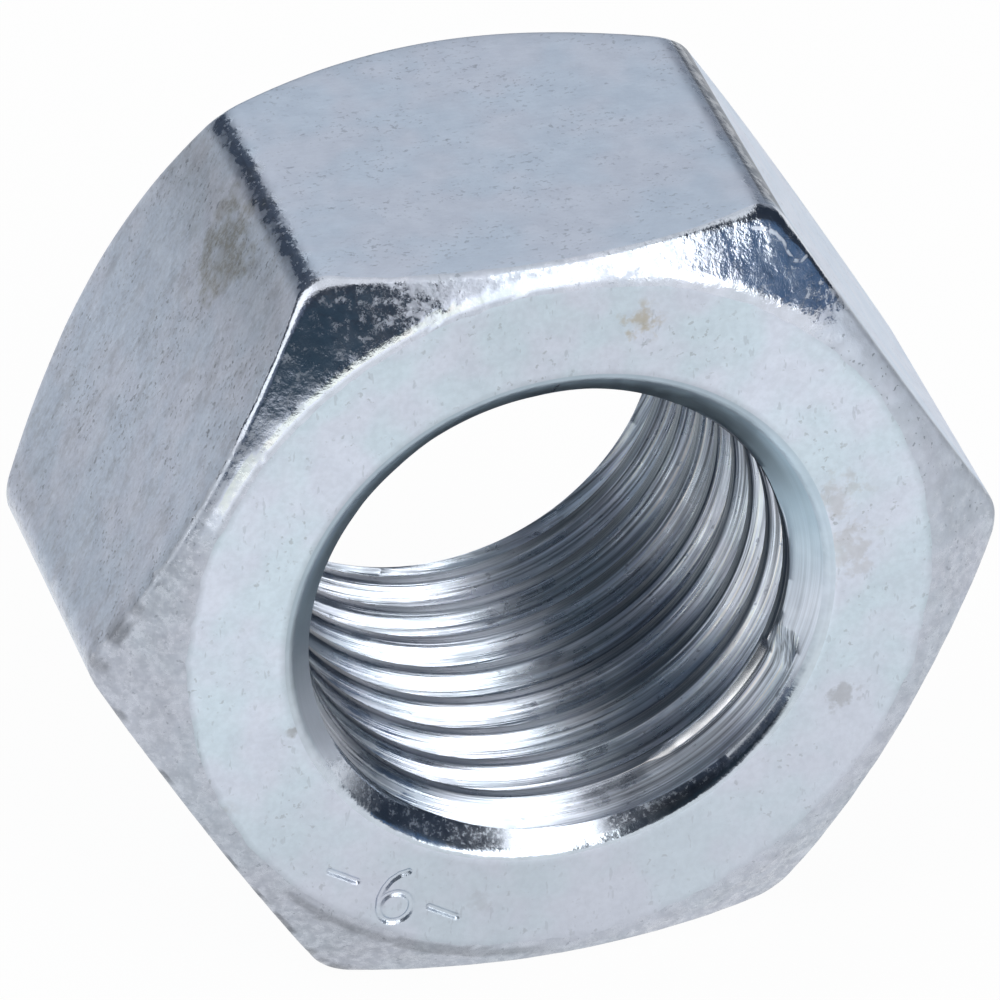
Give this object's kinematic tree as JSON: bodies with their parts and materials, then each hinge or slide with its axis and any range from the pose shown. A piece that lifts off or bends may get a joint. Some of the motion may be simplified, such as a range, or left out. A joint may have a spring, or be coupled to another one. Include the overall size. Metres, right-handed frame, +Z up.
{
  "type": "hexagon nut",
  "caption": "Metric hexagon nut in zinc-plated steel, with coned corners on both faces, softened corner edges and a countersunk right-hand fine thread.",
  "frame": {"origin": "middle of the bottom of the bounding box, on the hexagon flat that the nut stands on", "axes": "+Z up, +Y along the thread's axis from the marked face to the bearing face, +X across the corners"},
  "size_m": [0.0202, 0.0108, 0.0178],
  "materials": {
    "zinc_plated_steel": "pale blue zinc plating over cold-formed steel, satin, with small specks and dark nicks on the corners"
  },
  "bodies": {
    "root": {"hex_nut": "zinc_plated_steel"}
  },
  "joints": []
}
